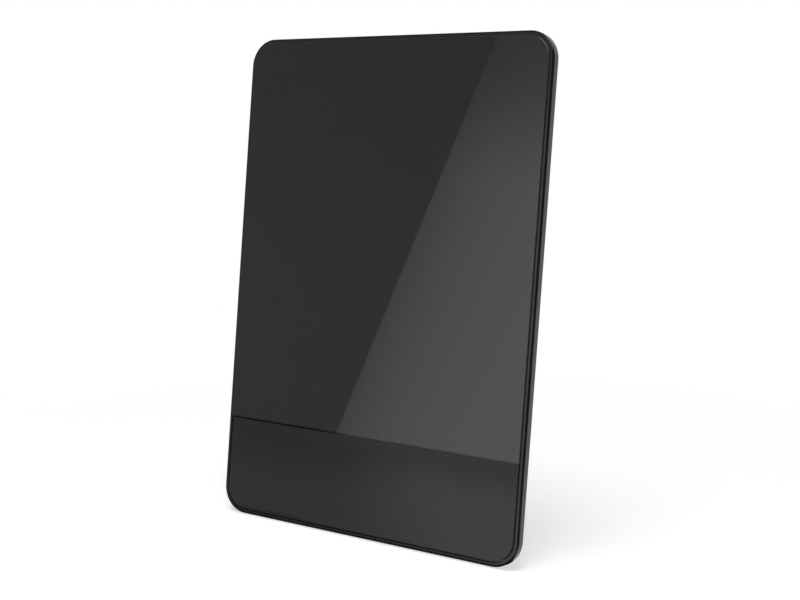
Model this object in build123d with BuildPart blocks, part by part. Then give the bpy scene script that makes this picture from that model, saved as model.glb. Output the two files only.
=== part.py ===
from build123d import *
import os
from math import cos, radians, sin, sqrt

# A flat indoor television antenna. A shallow front frame holds a bevelled gloss panel above a
# satin band, a tapered rear cover closes it, and a fold-out foot lets it stand leaning back.
# Two sheet radiators and an amplifier board with a coaxial jack fill the inside.
#
# Heights run up along the panel from the frame's lower edge, and depths run backwards from the
# face of the gloss panel. All sizes are in millimetres and degrees.

os.makedirs("parts", exist_ok=True)

# Overall form
panel_width = 150.0
panel_height = 212.0
corner_radius = 11.5
lean_angle = 7.3
body_depth = 11.0

# Front frame
frame_depth = 4.4
frame_wall = 2.4
lip_depth = 0.6
lip_width = 0.8
edge_radius = 0.9
floor_thickness = 1.4

# Gloss panel and satin band
gloss_thickness = 2.0
gloss_clearance = 0.1
gloss_bevel_width = 0.3
gloss_foot_bevel = 0.6
gloss_bevel_depth = 0.3
divider_height = 42.5
divider_gap = 0.1
band_gap = 0.6
band_setback = 0.3
band_edge = 0.2

# Rear cover
cover_setback = 1.0
cover_wall = 1.6
cover_edge_radius = 2.5
tongue_height = 0.6
tongue_width = 1.0
tongue_clearance = 0.1

# Fold-out foot and its bay in the rear cover
foot_width = 64.0
foot_length = 52.0
foot_thickness = 3.0
foot_corner = 10.0
foot_edge = 0.5
foot_pocket_depth = 1.1
foot_pocket_count = 3
foot_rib = 2.4
foot_border = 5.0
barrel_radius = 2.0
trunnion_radius = 1.3
trunnion_length = 4.0
trunnion_clearance = 0.05
hinge_depth = 7.7
bay_clearance = 0.3
bay_side_clearance = 0.5
bay_end_clearance = 0.6
stop_gap = 0.1
heel_length = 3.0
cheek_width = 6.0
cheek_height = 9.0
cheek_setback = 1.4
scoop_radius = 8.0
scoop_depth = 2.4

# Rubber pads under the foot
pad_length = 14.0
pad_width = 5.0
pad_corner = 1.2
pad_proud = 0.5
pad_recess = 0.4
pad_spacing = 40.0
pad_setback = 8.0

# Screws that hold the cover to the frame
screw_edge = 15.0
screw_radius = 1.3
screw_head_radius = 2.8
screw_head_height = 1.8
screw_head_recess = 0.4
screw_clearance = 0.05
screw_hole_clearance = 0.4
screw_web = 1.4
boss_radius = 3.3
sleeve_radius = 4.8

# Sheet radiators, bonded to the floor of the frame
radiator_thickness = 0.4
radiator_reach = 53.0
radiator_foot = 72.0
radiator_top_margin = 12.0
radiator_inner = 25.0
radiator_feed = 5.0
radiator_feed_height = 10.0
radiator_corner = 4.0
tab_width = 5.0
tab_overlap = 2.0

# Amplifier board
board_width = 44.0
board_height = 36.0
board_thickness = 1.2
board_foot = 71.0
board_standoff = 1.6
board_boss_radius = 2.6
board_screw_inset = 4.0
board_screw_radius = 0.95
board_screw_head_radius = 1.8
board_screw_head_height = 1.2
board_hole_clearance = 0.25

# Shield can and the chip under it
can_width = 26.0
can_height = 13.0
can_clearance = 0.9
can_wall = 0.3
can_offset = 8.5
chip_size = 5.0
chip_rise = 0.8

# Coaxial jack with its nut, a 3/8 inch threaded type
jack_offset = 9.0
jack_thread_radius = 4.76
jack_root_radius = 4.35
jack_flange_radius = 6.6
jack_reach = 10.5
jack_bore_radius = 3.5
jack_bore_floor = 1.0
jack_fit = 0.05
jack_hole_clearance = 0.3
jack_thread_relief = 0.3
insulator_recess = 0.6
contact_radius = 1.0
contact_hole_radius = 0.55
contact_hole_depth = 8.0
contact_recess = 1.0
contact_tail = 0.6
nut_across_flats = 12.7
nut_height = 2.4
nut_chamfer = 0.5

# Sizes that follow from the ones above
lean = radians(lean_angle)
floor_rise = frame_depth * sin(lean)
pocket_inset = edge_radius + lip_width
gloss_inset = pocket_inset + gloss_clearance
band_inset = pocket_inset + band_gap
floor_back = gloss_thickness + floor_thickness
cover_taper = body_depth - frame_depth
cover_inner_back = body_depth - cover_wall
cover_inner_inset = cover_setback + cover_wall * sqrt(2)
tongue_inset = frame_wall + tongue_clearance

foot_back_depth = body_depth - pad_proud
foot_folded_middle = foot_back_depth - foot_thickness / 2
hinge_offset = foot_folded_middle - hinge_depth
hinge_z = pad_proud + foot_thickness / 2 + hinge_offset
hinge_height = (hinge_z - floor_rise + hinge_depth * sin(lean)) / cos(lean)

# The origin lies on the standing surface, midway between the band's lower edge and the foot's end
front_reach = band_inset * sin(lean) + band_setback * cos(lean)
hinge_reach = hinge_height * sin(lean) + hinge_depth * cos(lean)
panel_y = -(front_reach + hinge_reach + foot_length) / 2
hinge_y = panel_y + hinge_reach
foot_end = hinge_y + foot_length

bay_width = foot_width + 2 * bay_side_clearance
bay_top = hinge_height + foot_length + bay_end_clearance
bay_floor = foot_back_depth - foot_thickness - bay_clearance
trough_radius = barrel_radius + bay_clearance
trough_floor = hinge_depth - trough_radius

boss_top = cover_inner_back - screw_head_height - screw_head_recess + cover_wall - screw_web
screw_seat = boss_top + screw_web
board_front = floor_back + board_standoff
board_back = board_front + board_thickness
board_middle = board_foot + board_height / 2
board_top = board_foot + board_height
jack_height = board_middle - jack_offset
can_middle = board_middle + can_offset
can_rise = cover_inner_back - board_back - can_clearance
jack_end = body_depth + jack_reach
nut_back = body_depth + nut_height
radiator_top = panel_height - radiator_top_margin
radiator_feed_foot = board_top + radiator_feed_height / 2
radiator_back = floor_back + radiator_thickness

panel = Plane(origin=(0, panel_y, floor_rise), x_dir=(1, 0, 0), z_dir=(0, -cos(lean), sin(lean)))
backwards = Axis(panel.origin, -panel.z_dir)
hinge_section = Plane.YZ


def at_depth(depth):
    """The plane parallel to the panel's face at a depth behind it, facing forwards."""
    return panel.offset(-depth)


def panel_outline(inset):
    """The panel's rounded outline, drawn in from its edge, in the sketch that is open."""
    with Locations((0, panel_height / 2)):
        RectangleRounded(panel_width - 2 * inset, panel_height - 2 * inset, corner_radius - inset)


def screw_places():
    """The four corners where the cover is screwed to the frame."""
    with Locations((0, panel_height / 2)):
        return GridLocations(panel_width - 2 * screw_edge, panel_height - 2 * screw_edge, 2, 2)


def board_screw_places():
    """The two upper corners where the amplifier board is screwed down; its jack holds the rest."""
    with Locations((0, board_top - board_screw_inset)):
        return GridLocations(board_width - 2 * board_screw_inset, board_height, 2, 1)


# Front frame: a rounded tray with a lip round its front pocket and a floor behind the panels
with BuildPart() as front_frame:
    with BuildSketch(at_depth(frame_depth)):
        panel_outline(0)
    extrude(amount=frame_depth - lip_depth)
    fillet(front_frame.faces().sort_by(backwards)[0].edges(), edge_radius)
    with BuildSketch(at_depth(gloss_thickness)):
        panel_outline(pocket_inset)
    extrude(amount=gloss_thickness, mode=Mode.SUBTRACT)
    with BuildSketch(at_depth(frame_depth)):
        panel_outline(frame_wall)
    extrude(amount=frame_depth - floor_back, mode=Mode.SUBTRACT)
    with BuildSketch(at_depth(boss_top)):
        with screw_places():
            Circle(boss_radius)
    extrude(amount=boss_top - floor_back)
    with BuildSketch(at_depth(boss_top)):
        with screw_places():
            Circle(screw_radius + screw_clearance)
    extrude(amount=boss_top - floor_back, mode=Mode.SUBTRACT)
    with BuildSketch(at_depth(board_front)):
        with board_screw_places():
            Circle(board_boss_radius)
    extrude(amount=board_standoff)
    with BuildSketch(at_depth(board_front)):
        with board_screw_places():
            Circle(board_screw_radius + screw_clearance)
    extrude(amount=board_standoff, mode=Mode.SUBTRACT)
front_frame.part.label = "front_frame"
export_step(front_frame.part, "parts/front_frame.step")

# Gloss panel: a plate with bevelled edges that fills the pocket above the divider
with BuildPart() as gloss_panel:
    with BuildSketch(at_depth(gloss_thickness)):
        panel_outline(gloss_inset)
        with Locations((0, divider_height / 2)):
            Rectangle(panel_width, divider_height, mode=Mode.SUBTRACT)
    extrude(amount=gloss_thickness)
    gloss_face = gloss_panel.faces().sort_by(backwards)[0]
    gloss_foot = gloss_face.edges().sort_by(Axis(panel.origin, panel.y_dir))[0]
    gloss_rim = [edge for edge in gloss_face.edges() if edge != gloss_foot]
    chamfer(gloss_rim, gloss_bevel_width, gloss_bevel_depth, reference=gloss_face)
    gloss_face = gloss_panel.faces().sort_by(backwards)[0]
    gloss_foot = gloss_face.edges().sort_by(Axis(panel.origin, panel.y_dir))[0]
    chamfer(gloss_foot, gloss_foot_bevel, gloss_bevel_depth, reference=gloss_face)
gloss_panel.part.label = "gloss_panel"
export_step(gloss_panel.part, "parts/gloss_panel.step")

# Satin band: a thinner plate below the divider, with a shadow gap all round it
with BuildPart() as lower_band:
    with BuildSketch(at_depth(gloss_thickness)):
        panel_outline(band_inset)
        with Locations((0, (divider_height - divider_gap + panel_height) / 2)):
            Rectangle(panel_width, panel_height - divider_height + divider_gap, mode=Mode.SUBTRACT)
    extrude(amount=gloss_thickness - band_setback)
    chamfer(lower_band.faces().sort_by(backwards)[0].edges(), band_edge)
lower_band.part.label = "lower_band"
export_step(lower_band.part, "parts/lower_band.step")

# Rear cover: a tapered shell with a tongue into the frame, screw sleeves, and the foot's bay
with BuildPart() as rear_cover:
    with BuildSketch(at_depth(frame_depth)):
        panel_outline(cover_setback)
    with BuildSketch(at_depth(body_depth)):
        panel_outline(cover_setback + cover_taper)
    loft(ruled=True)
    fillet(rear_cover.faces().sort_by(backwards)[-1].edges(), cover_edge_radius)
    with BuildSketch(at_depth(frame_depth)):
        panel_outline(cover_inner_inset)
    with BuildSketch(at_depth(cover_inner_back)):
        panel_outline(cover_inner_inset + cover_inner_back - frame_depth)
    loft(ruled=True, mode=Mode.SUBTRACT)
    # Tongue that locates the cover inside the frame's wall
    with BuildSketch(at_depth(frame_depth)):
        panel_outline(tongue_inset)
        with Locations((0, panel_height / 2)):
            tongue_hole = tongue_inset + tongue_width
            RectangleRounded(
                panel_width - 2 * tongue_hole,
                panel_height - 2 * tongue_hole,
                corner_radius - tongue_hole,
                mode=Mode.SUBTRACT,
            )
    extrude(amount=tongue_height)
    # Walls of the foot's bay, of the trough round its barrel and of the finger scoop
    with BuildSketch(at_depth(cover_inner_back)):
        with Locations((0, (tongue_inset + bay_top + cover_wall) / 2)):
            Rectangle(bay_width + 2 * cover_wall, bay_top + cover_wall - tongue_inset)
    extrude(amount=cover_inner_back - bay_floor + cover_wall)
    trough_wall_top = hinge_height + trough_radius + cover_wall
    with BuildSketch(at_depth(bay_floor)):
        with Locations((0, (tongue_inset + trough_wall_top) / 2)):
            Rectangle(bay_width + 2 * cheek_width, trough_wall_top - tongue_inset)
    extrude(amount=bay_floor - frame_depth + tongue_height)
    with BuildSketch(at_depth(cover_inner_back)):
        with Locations((0, bay_top)):
            Circle(scoop_radius + cover_wall)
    extrude(amount=scoop_depth)
    # Cheeks that carry the foot's trunnions
    with BuildSketch(at_depth(body_depth)):
        with Locations((0, (cheek_setback + cheek_height) / 2)):
            with GridLocations(bay_width + cheek_width, 1, 2, 1):
                Rectangle(cheek_width, cheek_height - cheek_setback)
    extrude(amount=body_depth - frame_depth)
    # Sleeves for the cover screws
    with BuildSketch(at_depth(cover_inner_back)):
        with screw_places():
            Circle(sleeve_radius)
    extrude(amount=cover_inner_back - boss_top)
    # The bay itself, open at the bottom
    with BuildSketch(at_depth(body_depth)):
        with Locations((0, bay_top / 2)):
            Rectangle(bay_width, bay_top)
    extrude(amount=body_depth - bay_floor, mode=Mode.SUBTRACT)
    with BuildSketch(at_depth(body_depth)):
        with Locations((0, hinge_height / 2)):
            Rectangle(bay_width, hinge_height)
    extrude(amount=body_depth - trough_floor, mode=Mode.SUBTRACT)
    with BuildSketch(hinge_section):
        with Locations((hinge_y, hinge_z)):
            Circle(trough_radius)
    extrude(amount=bay_width / 2, both=True, mode=Mode.SUBTRACT)
    with BuildSketch(hinge_section):
        with Locations((hinge_y, hinge_z)):
            Circle(trunnion_radius + trunnion_clearance)
    extrude(amount=bay_width / 2 + trunnion_length, both=True, mode=Mode.SUBTRACT)
    # Finger scoop over the foot's free end
    with BuildSketch(at_depth(body_depth)):
        with Locations((0, bay_top)):
            Circle(scoop_radius)
    extrude(amount=scoop_depth, mode=Mode.SUBTRACT)
    # Screw holes, and the hole for the coaxial jack
    with BuildSketch(at_depth(body_depth)):
        with screw_places():
            Circle(screw_head_radius + screw_hole_clearance)
    extrude(amount=body_depth - screw_seat, mode=Mode.SUBTRACT)
    with BuildSketch(at_depth(screw_seat)):
        with screw_places():
            Circle(screw_radius + screw_hole_clearance)
    extrude(amount=screw_web, mode=Mode.SUBTRACT)
    with BuildSketch(at_depth(body_depth)):
        with Locations((0, jack_height)):
            Circle(jack_root_radius + jack_hole_clearance)
    extrude(amount=cover_wall, mode=Mode.SUBTRACT)
rear_cover.part.label = "rear_cover"
export_step(rear_cover.part, "parts/rear_cover.step")

# Fold-out foot, drawn in its open position: a ribbed plate with a barrel and two stub trunnions
with BuildPart() as fold_out_foot:
    plate_middle = pad_proud + foot_thickness / 2
    with BuildSketch(hinge_section):
        with Locations(((hinge_y - heel_length + foot_end) / 2, plate_middle)):
            Rectangle(foot_length + heel_length, foot_thickness)
    extrude(amount=foot_width / 2, both=True)
    free_end = fold_out_foot.faces().sort_by(Axis.Y)[-1]
    fillet(free_end.edges().filter_by(Axis.Z), foot_corner)
    foot_top = fold_out_foot.faces().sort_by(Axis.Z)[-1]
    chamfer(foot_top.edges().sort_by(Axis.Y)[1:], foot_edge)
    with BuildSketch(hinge_section):
        with Locations((hinge_y, hinge_z)):
            Circle(barrel_radius)
    extrude(amount=foot_width / 2, both=True)
    with BuildSketch(hinge_section):
        with Locations((hinge_y, hinge_z)):
            Circle(trunnion_radius)
    extrude(amount=foot_width / 2 + trunnion_length - bay_clearance, both=True)
    # The heel is trimmed to meet the bay's front wall, where it stops the foot
    split(bisect_by=at_depth(trough_floor + stop_gap), keep=Keep.BOTTOM)
    # Pockets between the ribs of the upper side
    pocket_start = hinge_y + barrel_radius + foot_border
    pocket_length = foot_end - foot_border - pocket_start
    pocket_pitch = (foot_width - 2 * foot_border + foot_rib) / foot_pocket_count
    with BuildSketch(Plane.XY.offset(pad_proud + foot_thickness)):
        with Locations((0, pocket_start + pocket_length / 2)):
            with GridLocations(pocket_pitch, 1, foot_pocket_count, 1):
                Rectangle(pocket_pitch - foot_rib, pocket_length)
    extrude(amount=-foot_pocket_depth, mode=Mode.SUBTRACT)
    # Shallow seats for the rubber pads
    with BuildSketch(Plane.XY.offset(pad_proud)) as pad_seats:
        with Locations((0, foot_end - pad_setback)):
            with GridLocations(pad_spacing, 1, 2, 1):
                Rectangle(pad_length, pad_width)
        chamfer(pad_seats.vertices(), pad_corner)
    extrude(amount=pad_recess, mode=Mode.SUBTRACT)
fold_out_foot.part.label = "fold_out_foot"
export_step(fold_out_foot.part, "parts/fold_out_foot.step")

# Rubber pads, set into their seats and just proud of the foot's underside
with BuildPart() as foot_pads:
    with BuildSketch(Plane.XY) as pad_outlines:
        with Locations((0, foot_end - pad_setback)):
            with GridLocations(pad_spacing, 1, 2, 1):
                Rectangle(pad_length, pad_width)
        chamfer(pad_outlines.vertices(), pad_corner)
    extrude(amount=pad_proud + pad_recess)
foot_pads.part.label = "foot_pads"
export_step(foot_pads.part, "parts/foot_pads.step")

# Screws of the rear cover, each a shank in the frame's boss and a head on the cover's web
with BuildPart() as cover_screws:
    with BuildSketch(at_depth(screw_seat)):
        with screw_places():
            Circle(screw_radius)
    extrude(amount=screw_seat - floor_back - screw_clearance)
    with BuildSketch(at_depth(screw_seat + screw_head_height)):
        with screw_places():
            Circle(screw_head_radius)
    extrude(amount=screw_head_height)
cover_screws.part.label = "cover_screws"
export_step(cover_screws.part, "parts/cover_screws.step")

# Radiators: stamped sheet on the frame's floor, with a tab bent up to the board
with BuildPart() as radiator_left:
    with BuildSketch(at_depth(radiator_back)) as left_wing:
        Polygon(
            (-radiator_feed, radiator_feed_foot),
            (-radiator_feed, radiator_feed_foot + radiator_feed_height),
            (-radiator_inner, radiator_top),
            (-radiator_reach, radiator_top),
            (-radiator_reach, radiator_foot),
            (-radiator_inner, radiator_foot),
            (-radiator_inner, radiator_feed_foot),
            align=None,
        )
        fillet(left_wing.vertices().group_by(Axis.X)[0], radiator_corner)
        with Locations((-radiator_feed - tab_width / 2, board_top + radiator_feed_height / 4)):
            Rectangle(tab_width, radiator_feed_height / 2 + 2 * tab_overlap)
    extrude(amount=radiator_thickness)
    tab_foot = board_top - tab_overlap
    with BuildSketch(at_depth(board_front)):
        with Locations((-radiator_feed - tab_width / 2, tab_foot + radiator_thickness / 2)):
            Rectangle(tab_width, radiator_thickness)
    extrude(amount=board_standoff)
radiator_left.part.label = "radiator_left"
export_step(radiator_left.part, "parts/radiator_left.step")

with BuildPart() as radiator_right:
    add(mirror(radiator_left.part, about=Plane.YZ))
radiator_right.part.label = "radiator_right"
export_step(radiator_right.part, "parts/radiator_right.step")

# Amplifier board on its bosses, with a hole for the jack's contact
with BuildPart() as amplifier_board:
    with BuildSketch(at_depth(board_back)):
        with Locations((0, board_middle)):
            Rectangle(board_width, board_height)
        with board_screw_places():
            Circle(board_screw_radius + board_hole_clearance, mode=Mode.SUBTRACT)
        with Locations((0, jack_height)):
            Circle(contact_radius + board_hole_clearance, mode=Mode.SUBTRACT)
    extrude(amount=board_thickness)
amplifier_board.part.label = "amplifier_board"
export_step(amplifier_board.part, "parts/amplifier_board.step")

with BuildPart() as board_screws:
    with BuildSketch(at_depth(board_back)):
        with board_screw_places():
            Circle(board_screw_radius)
    extrude(amount=board_thickness + board_standoff - screw_clearance)
    with BuildSketch(at_depth(board_back + board_screw_head_height)):
        with board_screw_places():
            Circle(board_screw_head_radius)
    extrude(amount=board_screw_head_height)
board_screws.part.label = "board_screws"
export_step(board_screws.part, "parts/board_screws.step")

# Shield can soldered over the amplifier chip
with BuildPart() as shield_can:
    with BuildSketch(at_depth(board_back + can_rise)):
        with Locations((0, can_middle)):
            Rectangle(can_width, can_height)
    extrude(amount=can_rise)
    with BuildSketch(at_depth(board_back + can_rise - can_wall)):
        with Locations((0, can_middle)):
            Rectangle(can_width - 2 * can_wall, can_height - 2 * can_wall)
    extrude(amount=can_rise - can_wall, mode=Mode.SUBTRACT)
shield_can.part.label = "shield_can"
export_step(shield_can.part, "parts/shield_can.step")

with BuildPart() as amplifier_chip:
    with BuildSketch(at_depth(board_back + chip_rise)):
        with Locations((0, can_middle)):
            Rectangle(chip_size, chip_size)
    extrude(amount=chip_rise)
amplifier_chip.part.label = "amplifier_chip"
export_step(amplifier_chip.part, "parts/amplifier_chip.step")

# Coaxial jack: the thread is drawn at its root under the nut and at its crest beyond it
with BuildPart() as coax_jack_body:
    with BuildSketch(at_depth(cover_inner_back)):
        with Locations((0, jack_height)):
            Circle(jack_flange_radius)
    extrude(amount=cover_inner_back - board_back)
    with BuildSketch(at_depth(nut_back + jack_thread_relief)):
        with Locations((0, jack_height)):
            Circle(jack_root_radius)
    extrude(amount=nut_back + jack_thread_relief - cover_inner_back)
    with BuildSketch(at_depth(jack_end)):
        with Locations((0, jack_height)):
            Circle(jack_thread_radius)
    extrude(amount=jack_end - nut_back - jack_thread_relief)
    with BuildSketch(at_depth(jack_end)):
        with Locations((0, jack_height)):
            Circle(jack_bore_radius)
    extrude(amount=jack_end - board_back - jack_bore_floor, mode=Mode.SUBTRACT)
    with BuildSketch(at_depth(board_back + jack_bore_floor)):
        with Locations((0, jack_height)):
            Circle(contact_radius + board_hole_clearance)
    extrude(amount=jack_bore_floor, mode=Mode.SUBTRACT)
coax_jack_body.part.label = "coax_jack_body"
export_step(coax_jack_body.part, "parts/coax_jack_body.step")

with BuildPart() as coax_jack_insulator:
    with BuildSketch(at_depth(jack_end - insulator_recess)):
        with Locations((0, jack_height)):
            Circle(jack_bore_radius - jack_fit)
            Circle(contact_radius + jack_fit, mode=Mode.SUBTRACT)
    extrude(amount=jack_end - insulator_recess - board_back - jack_bore_floor)
coax_jack_insulator.part.label = "coax_jack_insulator"
export_step(coax_jack_insulator.part, "parts/coax_jack_insulator.step")

with BuildPart() as coax_jack_contact:
    with BuildSketch(at_depth(jack_end - contact_recess)):
        with Locations((0, jack_height)):
            Circle(contact_radius)
    extrude(amount=jack_end - contact_recess - board_front + contact_tail)
    with BuildSketch(at_depth(jack_end - contact_recess)):
        with Locations((0, jack_height)):
            Circle(contact_hole_radius)
    extrude(amount=contact_hole_depth, mode=Mode.SUBTRACT)
coax_jack_contact.part.label = "coax_jack_contact"
export_step(coax_jack_contact.part, "parts/coax_jack_contact.step")

with BuildPart() as coax_jack_nut:
    with BuildSketch(at_depth(nut_back)):
        with Locations((0, jack_height)):
            RegularPolygon(nut_across_flats / 2, 6, major_radius=False)
            Circle(jack_root_radius + jack_fit, mode=Mode.SUBTRACT)
    extrude(amount=nut_height)
    nut_end = coax_jack_nut.faces().sort_by(backwards)[-1]
    chamfer(nut_end.edges().filter_by(GeomType.LINE), nut_chamfer)
coax_jack_nut.part.label = "coax_jack_nut"
export_step(coax_jack_nut.part, "parts/coax_jack_nut.step")
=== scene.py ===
"""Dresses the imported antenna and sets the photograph's camera, floor and studio light.

Lengths are in metres, in the CAD model's own frame.
"""
import math

import bmesh
import bpy
from mathutils import Matrix, Vector


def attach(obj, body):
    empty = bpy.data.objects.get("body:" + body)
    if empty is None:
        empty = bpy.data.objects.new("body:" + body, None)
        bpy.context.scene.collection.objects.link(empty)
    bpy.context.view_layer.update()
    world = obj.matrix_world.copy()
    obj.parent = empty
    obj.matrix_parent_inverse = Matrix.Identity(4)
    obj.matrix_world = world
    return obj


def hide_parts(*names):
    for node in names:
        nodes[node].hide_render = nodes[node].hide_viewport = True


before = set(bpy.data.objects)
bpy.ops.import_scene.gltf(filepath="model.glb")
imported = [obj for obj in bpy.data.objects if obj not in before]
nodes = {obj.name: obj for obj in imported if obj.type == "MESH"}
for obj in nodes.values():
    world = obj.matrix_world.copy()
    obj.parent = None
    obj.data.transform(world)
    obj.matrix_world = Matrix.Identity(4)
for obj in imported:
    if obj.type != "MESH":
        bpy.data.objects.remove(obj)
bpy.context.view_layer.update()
scene = bpy.context.scene
scene.view_settings.view_transform = "Standard"

# The panel as in the CAD model: heights run up along its face, depths run backwards from it
PANEL_WIDTH = 0.150
PANEL_HEIGHT = 0.212
PANEL_FOOT = Vector((0.0, -0.0303519, 0.0005591))
LEAN = math.radians(7.3)
RIGHT = Vector((1.0, 0.0, 0.0))
UP = Vector((0.0, math.sin(LEAN), math.cos(LEAN)))
BACK = Vector((0.0, math.cos(LEAN), -math.sin(LEAN)))


def on_panel(across, height):
    """The point of the panel's face at a distance from its middle and a height along it."""
    return PANEL_FOOT + RIGHT * across + UP * height


# Steps that the node trees share

def ramp(tree, source, start, end, low, high, curve="LINEAR"):
    """A value that goes from low to high while the source goes from start to end."""
    made = tree.nodes.new("ShaderNodeMapRange")
    made.interpolation_type = curve
    for socket, value in (("From Min", start), ("From Max", end), ("To Min", low), ("To Max", high)):
        made.inputs[socket].default_value = value
    tree.links.new(source, made.inputs["Value"])
    return made.outputs["Result"]


def soft_ramp(tree, source, start, end, low, high):
    """A ramp with soft ends."""
    return ramp(tree, source, start, end, low, high, "SMOOTHSTEP")


def calculate(tree, operation, first, second=0.0):
    """One step of arithmetic with sockets and numbers."""
    step = tree.nodes.new("ShaderNodeMath")
    step.operation = operation
    for socket, value in zip(step.inputs, (first, second)):
        if isinstance(value, float):
            socket.default_value = value
        else:
            tree.links.new(value, socket)
    return step.outputs[0]


# Materials
TONE_WAVES = 60.0
NOISE_MIDDLE = (0.3, 0.7)
EDGE_FACING = (0.75, 0.85)
METAL_IOR = 1.5


def material(name, roughness, ior, metallic=0.0):
    """A new material, its node tree and its shader, with the shader's plain values set."""
    made = bpy.data.materials.new(name)
    made.use_nodes = True
    shader = made.node_tree.nodes["Principled BSDF"]
    shader.inputs["Roughness"].default_value = roughness
    shader.inputs["IOR"].default_value = ior
    shader.inputs["Metallic"].default_value = metallic
    return made, made.node_tree, shader


def noise(tree, scale, detail=2.0, stretch=(1.0, 1.0, 1.0)):
    """A noise texture in the object's own coordinates; scale is in waves per metre."""
    coordinates = tree.nodes.new("ShaderNodeTexCoord")
    mapping = tree.nodes.new("ShaderNodeMapping")
    mapping.inputs["Scale"].default_value = stretch
    texture = tree.nodes.new("ShaderNodeTexNoise")
    texture.inputs["Scale"].default_value = scale
    texture.inputs["Detail"].default_value = detail
    tree.links.new(coordinates.outputs["Object"], mapping.inputs["Vector"])
    tree.links.new(mapping.outputs["Vector"], texture.inputs["Vector"])
    return texture.outputs["Fac"]


def spread(tree, source, low, high):
    """A noise's middle tones spread between two values."""
    return ramp(tree, source, *NOISE_MIDDLE, low, high)


def colour_between(tree, source, shader, first, second):
    """Base colour that wanders between two close tones."""
    mix = tree.nodes.new("ShaderNodeMix")
    mix.data_type = "RGBA"
    mix.inputs["A"].default_value = (*first, 1.0)
    mix.inputs["B"].default_value = (*second, 1.0)
    tree.links.new(spread(tree, source, 0.0, 1.0), mix.inputs["Factor"])
    tree.links.new(mix.outputs["Result"], shader.inputs["Base Color"])


def bump(tree, source, shader, depth):
    """A relief of that depth from the source."""
    relief = tree.nodes.new("ShaderNodeBump")
    relief.inputs["Distance"].default_value = depth
    tree.links.new(source, relief.inputs["Height"])
    tree.links.new(relief.outputs["Normal"], shader.inputs["Normal"])


def plastic(name, first, second, rough, grain, depth=0.0, ior=1.46):
    """Moulded plastic: two close tones, a roughness that wanders, and a fine grain where it has a depth."""
    made, tree, shader = material(name, rough[0], ior)
    colour_between(tree, noise(tree, TONE_WAVES), shader, first, second)
    fine = noise(tree, grain, detail=3.0)
    tree.links.new(spread(tree, fine, *rough), shader.inputs["Roughness"])
    if depth:
        bump(tree, fine, shader, depth)
    return made


def metal(name, first, second, rough, grain, stretch=(1.0, 1.0, 1.0)):
    """Plated metal with fine rolling or machining marks."""
    made, tree, shader = material(name, rough[0], METAL_IOR, metallic=1.0)
    marks = noise(tree, grain, detail=4.0, stretch=stretch)
    colour_between(tree, marks, shader, first, second)
    tree.links.new(spread(tree, marks, *rough), shader.inputs["Roughness"])
    return made


def rough_edges_with_painted_light(made, rough, painted_light_tone):
    """Gives a plate rougher edges with painted light: a face that turns far from the panel's front gets the
    edge's roughness and a lighter tone, which is painted light.
    """
    tree = made.node_tree
    shader = tree.nodes["Principled BSDF"]
    coordinates = tree.nodes.new("ShaderNodeTexCoord")
    facing = tree.nodes.new("ShaderNodeVectorMath")
    facing.operation = "DOT_PRODUCT"
    facing.inputs[1].default_value = -BACK
    tree.links.new(coordinates.outputs["Normal"], facing.inputs[0])
    edge = ramp(tree, facing.outputs["Value"], *EDGE_FACING, 1.0, 0.0)
    # The edge's lighter tone is painted light: a painted highlight on bevels and lifted shade in seams.
    for socket, kind, finish in (("Roughness", "FLOAT", rough), ("Base Color", "RGBA", (*painted_light_tone, 1.0))):
        mix = tree.nodes.new("ShaderNodeMix")
        mix.data_type = kind
        mix.inputs["B"].default_value = finish
        tree.links.new(edge, mix.inputs["Factor"])
        tree.links.new(shader.inputs[socket].links[0].from_socket, mix.inputs["A"])
        tree.links.new(mix.outputs["Result"], shader.inputs[socket])


def grey(level, blue=0.0):
    """A grey, with a touch more blue where that is given."""
    return (level, level, level + blue)


gloss_black = plastic(
    "gloss_black", grey(0.0070, 0.0002), grey(0.0084, 0.0002), rough=(0.012, 0.02), grain=300.0, ior=1.49
)
# Painted highlight: the gloss panel's bevels are lighter than its face.
rough_edges_with_painted_light(gloss_black, 0.30, grey(0.030, 0.001))
band_satin = plastic(
    "band_satin", grey(0.0140, 0.0002), grey(0.0160, 0.0002), rough=(0.09, 0.13),
    grain=4500.0, depth=0.000004, ior=1.38
)
# Painted light: the band's chamfer and edges are lighter, which lifts the shade in the seam under the gloss
# panel's edge.
rough_edges_with_painted_light(band_satin, 0.35, grey(0.060, 0.001))
frame_black = plastic(
    "frame_black", grey(0.0085, 0.0002), grey(0.0100, 0.0002), rough=(0.16, 0.22),
    grain=2500.0, depth=0.000003, ior=1.40
)
cover_black = plastic(
    "cover_black", grey(0.027, 0.0005), grey(0.034, 0.0005), rough=(0.38, 0.54), grain=2600.0, depth=0.00005
)
pad_rubber = plastic(
    "pad_rubber", grey(0.016), grey(0.026), rough=(0.75, 0.9), grain=1800.0, depth=0.00003, ior=1.5
)
board_green = plastic(
    "board_green", (0.010, 0.090, 0.035), (0.016, 0.115, 0.045), rough=(0.30, 0.4), grain=900.0, depth=0.00001
)
chip_resin = plastic(
    "chip_resin", grey(0.012), grey(0.018), rough=(0.5, 0.6), grain=4000.0, depth=0.00001
)
insulator_white = plastic(
    "insulator_white", (0.78, 0.77, 0.73), (0.84, 0.83, 0.80), rough=(0.42, 0.5), grain=2500.0, depth=0.000006
)
screw_black = metal("screw_black", grey(0.055, 0.003), grey(0.085, 0.005), rough=(0.3, 0.42), grain=2500.0)
sheet_tin = metal(
    "sheet_tin", (0.60, 0.60, 0.58), (0.70, 0.70, 0.68), rough=(0.26, 0.38),
    grain=700.0, stretch=(1.0, 1.0, 0.06)
)
jack_nickel = metal("jack_nickel", (0.60, 0.58, 0.54), (0.68, 0.66, 0.61), rough=(0.16, 0.26), grain=2200.0)
contact_gold = metal("contact_gold", (0.78, 0.56, 0.24), (0.86, 0.64, 0.30), rough=(0.18, 0.28), grain=2200.0)

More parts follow.
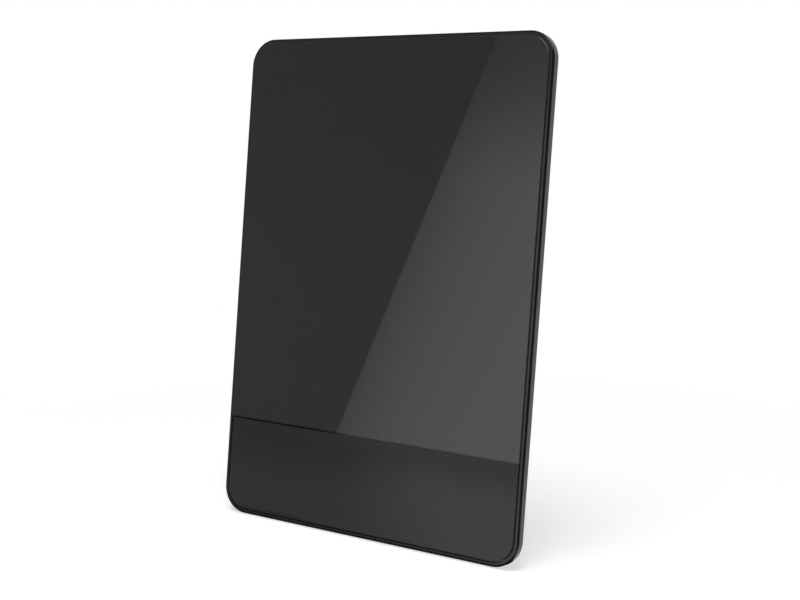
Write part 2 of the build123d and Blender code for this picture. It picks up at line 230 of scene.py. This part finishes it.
finishes = {
    "front_frame": frame_black,
    "gloss_panel": gloss_black,
    "lower_band": band_satin,
    "rear_cover": cover_black,
    "fold_out_foot": cover_black,
    "foot_pads": pad_rubber,
    "cover_screws": screw_black,
    "radiator_left": sheet_tin,
    "radiator_right": sheet_tin,
    "amplifier_board": board_green,
    "board_screws": screw_black,
    "shield_can": sheet_tin,
    "amplifier_chip": chip_resin,
    "coax_jack_body": jack_nickel,
    "coax_jack_insulator": insulator_white,
    "coax_jack_contact": contact_gold,
    "coax_jack_nut": jack_nickel,
}
for name, finish in finishes.items():
    for place in nodes[name].material_slots:
        place.material = finish

# Turned pieces with finer detail than their CAD nodes
MERGE_DISTANCE = 1e-8
SHARP_ANGLE = math.radians(30.0)


def turned(rings, steps, hollow=False, bump_out=None):
    """A body of revolution about the Z axis through (height, radius) rings.

    A hollow one is closed from the last ring to the first, others start and end on the axis. bump_out adds to
    the radius at a height and an angle.
    """
    body = bmesh.new()
    circles = []
    for height, radius in rings:
        circle = []
        for step in range(steps):
            angle = step * math.tau / steps
            reach = radius + (bump_out(height, angle) if bump_out else 0.0)
            circle.append(body.verts.new((reach * math.cos(angle), reach * math.sin(angle), height)))
        circles.append(circle)
    if hollow:
        circles.append(circles[0])
    for lower, upper in zip(circles, circles[1:]):
        for step in range(steps):
            after = (step + 1) % steps
            body.faces.new((lower[step], lower[after], upper[after], upper[step]))
    bmesh.ops.remove_doubles(body, verts=body.verts, dist=MERGE_DISTANCE)
    bmesh.ops.dissolve_degenerate(body, edges=body.edges, dist=MERGE_DISTANCE)
    bmesh.ops.recalc_face_normals(body, faces=body.faces)
    return body


def mesh_of(body, name):
    """The bmesh as a mesh, smooth but for its sharp edges."""
    mesh = bpy.data.meshes.new(name)
    body.to_mesh(mesh)
    body.free()
    mesh.shade_smooth()
    mesh.set_sharp_from_angle(angle=SHARP_ANGLE)
    return mesh


def on_cover(across, height, turn=0.0):
    """Places a turned piece with its axis along the depth of the panel."""
    axes = Matrix((-RIGHT, UP, BACK)).transposed().to_4x4()
    return Matrix.Translation(on_panel(across, height)) @ axes @ Matrix.Rotation(turn, 4, "Z")


def piece(name, mesh, finish, node):
    """A piece of the housing that stands for a CAD node."""
    mesh.materials.clear()
    mesh.materials.append(finish)
    made = bpy.data.objects.new(name, mesh)
    scene.collection.objects.link(made)
    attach(made, "housing")
    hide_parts(node)


# Jack shell with a 3/8 inch, 32 per inch thread, whose flanks are given in shares of half a pitch
JACK_HEIGHT = 0.080
JACK_STEPS = 72
FLANGE_FRONT = 0.0062
FLANGE_BACK = 0.0094
FLANGE_RADIUS = 0.0066
JACK_END = 0.0215
JACK_END_RADIUS = 0.0042
BORE_RADIUS = 0.0035
BORE_FLOOR = 0.0072
MOUTH_CHAMFER = 0.0002
CONTACT_HOLE_RADIUS = 0.00125
THREAD_START = 0.0137
THREAD_END = 0.0212
THREAD_ROWS = 76
THREAD_ROOT_RADIUS = 0.00435
THREAD_DEPTH = 0.00041
THREAD_PITCH = 0.000794
THREAD_RUN_OUT = 0.0004
FLANK_FOOT = 0.9
FLANK_WIDTH = 0.8


def thread(depth, angle):
    """Height of the thread over its root, which runs out at both ends."""
    if not THREAD_START < depth < THREAD_END:
        return 0.0
    phase = ((depth - THREAD_START) / THREAD_PITCH - angle / math.tau) % 1.0
    crest = min(max((FLANK_FOOT - abs(2.0 * phase - 1.0)) / FLANK_WIDTH, 0.0), 1.0)
    run_out = min((depth - THREAD_START) / THREAD_RUN_OUT, (THREAD_END - depth) / THREAD_RUN_OUT, 1.0)
    return THREAD_DEPTH * crest * run_out


jack_rings = [
    (FLANGE_FRONT, CONTACT_HOLE_RADIUS),
    (FLANGE_FRONT, FLANGE_RADIUS),
    (FLANGE_BACK, FLANGE_RADIUS),
    (FLANGE_BACK, THREAD_ROOT_RADIUS),
]
for row in range(THREAD_ROWS + 1):
    row_depth = THREAD_START + (THREAD_END - THREAD_START) * row / THREAD_ROWS
    jack_rings.append((row_depth, THREAD_ROOT_RADIUS))
jack_rings += [
    (JACK_END, JACK_END_RADIUS),
    (JACK_END, BORE_RADIUS + MOUTH_CHAMFER),
    (JACK_END - MOUTH_CHAMFER, BORE_RADIUS),
    (BORE_FLOOR, BORE_RADIUS),
    (BORE_FLOOR, CONTACT_HOLE_RADIUS),
]
jack_mesh = mesh_of(turned(jack_rings, JACK_STEPS, hollow=True, bump_out=thread), "coax_jack_thread")
jack_mesh.transform(on_cover(0.0, JACK_HEIGHT))
piece("coax_jack_thread", jack_mesh, jack_nickel, "coax_jack_body")

# Cover screws: pan heads with a cross recess, each turned as it was driven. The turns are in radians, by side
# and by bottom or top.
SCREW_EDGE = 0.015
SCREW_STEPS = 48
SCREW_TURNS = {(-1, 0): 0.35, (1, 0): 1.1, (-1, 1): 0.8, (1, 1): 0.15}
SCREW_TIP = 0.00345
SCREW_SEAT = 0.0088
SHANK_RADIUS = 0.0013
HEAD_RADIUS = 0.0028
RECESS_ARM = 0.00155
RECESS_HALF_WIDTH = 0.00028
RECESS_TOP = 0.0108
RECESS_FLOOR = 0.0095
RECESS_TAPER = 0.45

# Rings of depth and radius: the shank, then the head's rim, then its dome
screw_rings = [(SCREW_TIP, 0.0), (SCREW_TIP, 0.0009), (0.0039, SHANK_RADIUS), (SCREW_SEAT, SHANK_RADIUS)]
screw_rings += [(SCREW_SEAT, 0.0027), (0.0089, HEAD_RADIUS), (0.0097, HEAD_RADIUS)]
screw_rings += [(0.01005, 0.00268), (0.0103, 0.0024), (0.01047, 0.0019), (0.01056, 0.0012), (0.0106, 0.0)]


def cross_recess():
    """A tapered cross, turned by half a step so that none of its corners meets an edge of the head."""
    cross = bmesh.new()
    outlines = []
    for depth, share in ((RECESS_TOP, 1.0), (RECESS_FLOOR, RECESS_TAPER)):
        arm = RECESS_ARM * share
        half = RECESS_HALF_WIDTH
        outline = []
        for quarter in range(4):
            turn = Matrix.Rotation(quarter * math.pi / 2 + math.pi / SCREW_STEPS, 3, "Z")
            for across, along in ((arm, -half), (arm, half), (half, half)):
                corner = turn @ Vector((across, along, 0.0))
                outline.append(cross.verts.new((corner.x, corner.y, depth)))
        outlines.append(outline)
    upper, lower = outlines
    for step in range(len(upper)):
        after = (step + 1) % len(upper)
        cross.faces.new((upper[step], upper[after], lower[after], lower[step]))
    for outline in outlines:
        cross.faces.new(outline)
    bmesh.ops.recalc_face_normals(cross, faces=cross.faces)
    return cross


def cut_out(mesh, cutter_mesh):
    """The first mesh with the second cut out of it."""
    body = bpy.data.objects.new(mesh.name, mesh)
    cutter = bpy.data.objects.new(cutter_mesh.name, cutter_mesh)
    for helper in (body, cutter):
        scene.collection.objects.link(helper)
    cut = body.modifiers.new("cut", "BOOLEAN")
    cut.operation = "DIFFERENCE"
    cut.solver = "EXACT"
    cut.object = cutter
    made = bpy.data.meshes.new_from_object(body.evaluated_get(bpy.context.evaluated_depsgraph_get()))
    for helper in (body, cutter):
        bpy.data.objects.remove(helper)
    return made


screw_mesh = cut_out(
    mesh_of(turned(screw_rings, SCREW_STEPS), "screw"), mesh_of(cross_recess(), "cross_recess")
)
screws = bmesh.new()
for (side, top), turn in SCREW_TURNS.items():
    across = side * (PANEL_WIDTH / 2 - SCREW_EDGE)
    height = PANEL_HEIGHT - SCREW_EDGE if top else SCREW_EDGE
    one = screw_mesh.copy()
    one.transform(on_cover(across, height, turn))
    screws.from_mesh(one)
    bpy.data.meshes.remove(one)
piece("cover_screw_heads", mesh_of(screws, "cover_screw_heads"), screw_black, "cover_screws")

# Camera of the photograph: it stands to the right, a little above the panel's middle
FOCAL_PIXELS = 1294.9
IMAGE_WIDTH = 800
SENSOR_WIDTH = 36.0
CLIP_START = 0.01
CAMERA_PITCH = math.radians(8.398)
CAMERA_YAW = math.radians(-33.086)
PANEL_IN_VIEW = Vector((-0.01027, 0.004815, -0.54315))

camera_data = bpy.data.cameras.new("photo_camera")
camera_data.sensor_width = SENSOR_WIDTH
camera_data.lens = FOCAL_PIXELS / IMAGE_WIDTH * SENSOR_WIDTH
camera_data.clip_start = CLIP_START
camera = bpy.data.objects.new("photo_camera", camera_data)
scene.collection.objects.link(camera)
view = Matrix.Rotation(CAMERA_PITCH, 3, "X") @ Matrix.Rotation(CAMERA_YAW, 3, "Y")
upright = Matrix(((1, 0, 0), (0, 0, -1), (0, 1, 0)))
camera_axes = upright @ view.transposed()
camera_place = on_panel(0.0, PANEL_HEIGHT / 2) - camera_axes @ PANEL_IN_VIEW
camera.matrix_world = Matrix.Translation(camera_place) @ camera_axes.to_4x4()
scene.camera = camera


# Studio: floor, backdrop, cards that the panel mirrors, and a lamp

def flat(name, corners, shade):
    """A stage sheet through some corners."""
    mesh = bpy.data.meshes.new(name)
    mesh.from_pydata([tuple(corner) for corner in corners], [], [tuple(range(len(corners)))])
    mesh.materials.append(shade)
    sheet = bpy.data.objects.new(name, mesh)
    scene.collection.objects.link(sheet)
    return sheet


def card(name, corners, shade):
    """A stage sheet that is mirrored only: it neither shows nor casts light or shade."""
    sheet = flat(name, corners, shade)
    sheet.visible_camera = False
    sheet.visible_diffuse = False
    sheet.visible_shadow = False


def lying(left, right, front, back, height):
    """The corners of a level rectangle."""
    return [(left, front, height), (right, front, height), (right, back, height), (left, back, height)]


def standing(start, end, top):
    """The corners of an upright rectangle over a line on the floor."""
    return [(*start, 0.0), (*end, 0.0), (*end, top), (*start, top)]


def bare_material(name):
    """A new material that holds only its output, with its node tree and the output's socket."""
    made = bpy.data.materials.new(name)
    made.use_nodes = True
    made.node_tree.nodes.remove(made.node_tree.nodes["Principled BSDF"])
    return made, made.node_tree, made.node_tree.nodes["Material Output"].inputs["Surface"]


def glowing(name):
    """A material that only gives light, its node tree and the socket of its strength."""
    made, tree, surface = bare_material(name)
    light = tree.nodes.new("ShaderNodeEmission")
    tree.links.new(light.outputs[0], surface)
    return made, tree, light.inputs["Strength"]


def position(tree, kind="Object"):
    """The sockets of the coordinates X, Y and Z."""
    coordinates = tree.nodes.new("ShaderNodeTexCoord")
    split = tree.nodes.new("ShaderNodeSeparateXYZ")
    tree.links.new(coordinates.outputs[kind], split.inputs[0])
    return split.outputs


def seen_rays(tree):
    """One for what the camera sees, straight, mirrored or through glass, and nought for the rest."""
    path = tree.nodes.new("ShaderNodeLightPath")
    seen = calculate(tree, "ADD", path.outputs["Is Camera Ray"], path.outputs["Is Glossy Ray"])
    return calculate(tree, "ADD", seen, path.outputs["Is Transmission Ray"])


# White paper. To the eye and in reflections, part of its white near the object is its own and the rest takes
# shadows, and further off all of it is its own.
PAPER_TONE = (0.88, 0.88, 0.88, 1.0)
PAPER_FADE = (0.14, 0.36)
PAPER_OWN = 0.60
PAPER_SHADED = 0.575
FLOOR_LEFT = -2.6
FLOOR_RIGHT = 1.8
FLOOR_FRONT = -0.95
FLOOR_BACK = 1.4
BACKDROP_TOP = 0.6


def studio_white(name):
    """The paper of floor and backdrop."""
    made, tree, surface = bare_material(name)
    point = position(tree)
    squares = [calculate(tree, "MULTIPLY", point[axis], point[axis]) for axis in ("X", "Y")]
    distance = calculate(tree, "SQRT", calculate(tree, "ADD", *squares))
    plain = tree.nodes.new("ShaderNodeBsdfDiffuse")
    plain.inputs["Color"].default_value = PAPER_TONE
    shaded = tree.nodes.new("ShaderNodeBsdfDiffuse")
    tree.links.new(soft_ramp(tree, distance, *PAPER_FADE, PAPER_SHADED, 0.0), shaded.inputs["Color"])
    own = tree.nodes.new("ShaderNodeEmission")
    tree.links.new(soft_ramp(tree, distance, *PAPER_FADE, PAPER_OWN, 1.0), own.inputs["Strength"])
    both = tree.nodes.new("ShaderNodeAddShader")
    tree.links.new(shaded.outputs[0], both.inputs[0])
    tree.links.new(own.outputs[0], both.inputs[1])
    choice = tree.nodes.new("ShaderNodeMixShader")
    tree.links.new(seen_rays(tree), choice.inputs["Fac"])
    tree.links.new(plain.outputs[0], choice.inputs[1])
    tree.links.new(both.outputs[0], choice.inputs[2])
    tree.links.new(choice.outputs[0], surface)
    return made


paper_white = studio_white("paper_white")
flat("floor", lying(FLOOR_LEFT, FLOOR_RIGHT, FLOOR_FRONT, FLOOR_BACK, 0.0), paper_white)
flat("backdrop", standing((FLOOR_LEFT, FLOOR_BACK), (FLOOR_RIGHT, FLOOR_BACK), BACKDROP_TOP), paper_white)

# The glare card stands to the front left, parallel to the panel. Its slanted edge mirrors as the border of
# the glare, and it is dimmer along that edge and at the top. Ramps are given as start, end, low and high.
CARD_FOOT = Vector((-0.3357, -0.5437, -0.0714))
CARD_LOW = 0.0906
CARD_HIGH = 0.52
CARD_RIGHT = 0.20
CARD_INSET = -0.0663
CARD_SLANT = 0.3880
EDGE_FALL = -14.0
EDGE_RAMP = (0.30, 0.44, 1.06, 0.66)
INNER_RAMP = (0.30, 0.44, 0.95, 0.20)


def card_edge(height):
    """How far the slanted edge stands from the card's foot at a height."""
    return CARD_INSET + CARD_SLANT * height


def on_card(across, height):
    """The point of the card at a distance from its foot and a height along it."""
    return CARD_FOOT + RIGHT * across + UP * height


def glare_light(name):
    """The card's light, which grows inwards from the slanted edge and fades towards the top."""
    made, tree, strength = glowing(name)
    point = position(tree)
    height = calculate(tree, "SUBTRACT", point["Z"], CARD_FOOT.z)
    across = calculate(tree, "SUBTRACT", point["X"], CARD_FOOT.x + CARD_INSET)
    inward = calculate(tree, "SUBTRACT", across, calculate(tree, "MULTIPLY", height, CARD_SLANT))
    fall = calculate(tree, "EXPONENT", calculate(tree, "MULTIPLY", inward, EDGE_FALL))
    inner = calculate(tree, "SUBTRACT", 1.0, fall)
    inner = calculate(tree, "MULTIPLY", inner, soft_ramp(tree, height, *INNER_RAMP))
    tree.links.new(calculate(tree, "ADD", inner, soft_ramp(tree, height, *EDGE_RAMP)), strength)
    return made


glare_corners = [
    on_card(card_edge(CARD_LOW), CARD_LOW),
    on_card(CARD_RIGHT, CARD_LOW),
    on_card(CARD_RIGHT, CARD_HIGH),
    on_card(card_edge(CARD_HIGH), CARD_HIGH),
]
card("glare_card", glare_corners, glare_light("glare_card"))

# A sheet that lies before the panel carries the border on, for the band, with a stripe for the gloss panel's
# lower bevel. Close to the panel it is dark: painted shade, which the bottom edges mirror as the shade under
# the panel.
TABLE_LEFT = -1.3
TABLE_RIGHT = 0.6
TABLE_FRONT = -0.94
TABLE_BACK = -0.022
TABLE_HEIGHT = 0.0005
BORDER_SLOPE = 0.681
BORDER_OFFSET = -0.0117
BORDER_RAMP = (0.0, 0.11, 0.0, 1.0)
LEFT_RAMP = (-0.60, -0.12, 0.40, 0.74)
RIGHT_RAMP = (-0.84, -0.38, 0.0, 1.57)
STRIPE_PLACE = -0.053
STRIPE_EDGE_RAMP = (0.0015, 0.003, 1.0, 0.0)
STRIPE_RAMP = (-0.015, 0.015, 0.0, 0.75)
STRIPE_RISE = 0.8
NEAR_RAMP = (-0.041, -0.034, 1.0, 0.0)


def table_light(name):
    """The sheet's light, which changes past the border, in the stripe and close to the panel."""
    made, tree, strength = glowing(name)
    point = position(tree)
    border = calculate(tree, "ADD", calculate(tree, "MULTIPLY", point["Y"], BORDER_SLOPE), BORDER_OFFSET)
    past_border = calculate(tree, "SUBTRACT", point["X"], border)
    right_side = soft_ramp(tree, past_border, *BORDER_RAMP)
    left_light = soft_ramp(tree, point["Y"], *LEFT_RAMP)
    right_light = soft_ramp(tree, point["Y"], *RIGHT_RAMP)
    step = calculate(tree, "MULTIPLY", right_side, calculate(tree, "SUBTRACT", right_light, left_light))
    sheet_light = calculate(tree, "ADD", left_light, step)
    stripe_light = soft_ramp(tree, past_border, *STRIPE_RAMP)
    stripe_light = calculate(tree, "ADD", stripe_light, calculate(tree, "MULTIPLY", right_side, STRIPE_RISE))
    off_stripe = calculate(tree, "ABSOLUTE", calculate(tree, "SUBTRACT", point["Y"], STRIPE_PLACE))
    stripe = calculate(tree, "SUBTRACT", stripe_light, sheet_light)
    stripe = calculate(tree, "MULTIPLY", stripe, soft_ramp(tree, off_stripe, *STRIPE_EDGE_RAMP))
    both = calculate(tree, "ADD", sheet_light, stripe)
    # Painted shade: the sheet's light goes out close to the panel.
    near_shade = soft_ramp(tree, point["Y"], *NEAR_RAMP)
    tree.links.new(calculate(tree, "MULTIPLY", near_shade, both), strength)
    return made


table_corners = lying(TABLE_LEFT, TABLE_RIGHT, TABLE_FRONT, TABLE_BACK, TABLE_HEIGHT)
card("table_card", table_corners, table_light("table_card"))

# Dark flags to the front right, which the rounded edges mirror. One lies on the floor, close by the panel.
FLAG_TONE = (0.02, 0.02, 0.02, 1.0)
FLAG_LEFT = 0.13
FLAG_RIGHT = 0.5
FLAG_FRONT = -0.42
FLAG_BACK = 0.14
FLAG_TOP = 0.6
FLOOR_FLAG_HEIGHT = 0.0007
FLOOR_FLAG_END = (0.082, -0.015)

flag, tree, surface = bare_material("flag_black")
felt = tree.nodes.new("ShaderNodeBsdfDiffuse")
felt.inputs["Color"].default_value = FLAG_TONE
tree.links.new(felt.outputs[0], surface)
floor_flag_corners = [
    (FLAG_LEFT, FLAG_FRONT, FLOOR_FLAG_HEIGHT),
    (FLAG_RIGHT, FLAG_FRONT, FLOOR_FLAG_HEIGHT),
    (FLAG_RIGHT, FLAG_BACK, FLOOR_FLAG_HEIGHT),
    (*FLOOR_FLAG_END, FLOOR_FLAG_HEIGHT),
]
card("front_flag", standing((FLAG_LEFT, FLAG_FRONT), (FLAG_RIGHT, FLAG_FRONT), FLAG_TOP), flag)
card("floor_flag", floor_flag_corners, flag)
card("right_flag", standing((FLAG_RIGHT, FLAG_FRONT), (FLAG_RIGHT, FLAG_BACK), FLAG_TOP), flag)

# A grey wall in front and to the left, which the rest of the gloss panel mirrors
WALL_LEFT = -1.4
WALL_RIGHT = 0.3
WALL_FRONT = -0.94
WALL_BACK = 0.7
WALL_TOP = 1.1
WALL_RAMP = (0.15, 0.6, 0.585, 0.48)

wall, tree, strength = glowing("wall_grey")
tree.links.new(soft_ramp(tree, position(tree)["Z"], *WALL_RAMP), strength)
card("front_wall", standing((WALL_LEFT, WALL_FRONT), (WALL_RIGHT, WALL_FRONT), WALL_TOP), wall)
card("left_wall", standing((WALL_LEFT, WALL_BACK), (WALL_LEFT, WALL_FRONT), WALL_TOP), wall)

# The room is white round the horizon and dim overhead; less of it falls on matt surfaces
MATT_SHARE = 0.55
OVERHEAD_RAMP = (0.3, 0.8, 1.0, 0.1)

world = bpy.data.worlds.new("studio")
world.use_nodes = True
tree = world.node_tree
background = tree.nodes["Background"]
background.inputs["Color"].default_value = (1.0, 1.0, 1.0, 1.0)
level = calculate(tree, "ADD", calculate(tree, "MULTIPLY", seen_rays(tree), 1.0 - MATT_SHARE), MATT_SHARE)
overhead = soft_ramp(tree, position(tree, "Generated")["Z"], *OVERHEAD_RAMP)
tree.links.new(calculate(tree, "MULTIPLY", level, overhead), background.inputs["Strength"])
scene.world = world

# One square soft lamp over the front, which no surface mirrors
LAMP_PLACE = Vector((0.09, -0.34, 1.25))
LAMP_TARGET = Vector((0.0, 0.0, 0.08))
LAMP_WIDTH = 0.60
LAMP_WATTS = 10.3

lamp_data = bpy.data.lights.new("key_lamp", "AREA")
lamp_data.size = LAMP_WIDTH
lamp_data.energy = LAMP_WATTS
lamp = bpy.data.objects.new("key_lamp", lamp_data)
lamp.location = LAMP_PLACE
lamp.rotation_euler = (LAMP_TARGET - LAMP_PLACE).to_track_quat("-Z", "Y").to_euler()
lamp.visible_glossy = False
scene.collection.objects.link(lamp)

# A bright card overhead to the right, which the rounded edges mirror
TOP_CARD_LIGHT = 2.6

soft, tree, strength = glowing("top_card")
strength.default_value = TOP_CARD_LIGHT
card("top_card", lying(left=0.15, right=1.2, front=-0.9, back=0.4, height=1.2), soft)
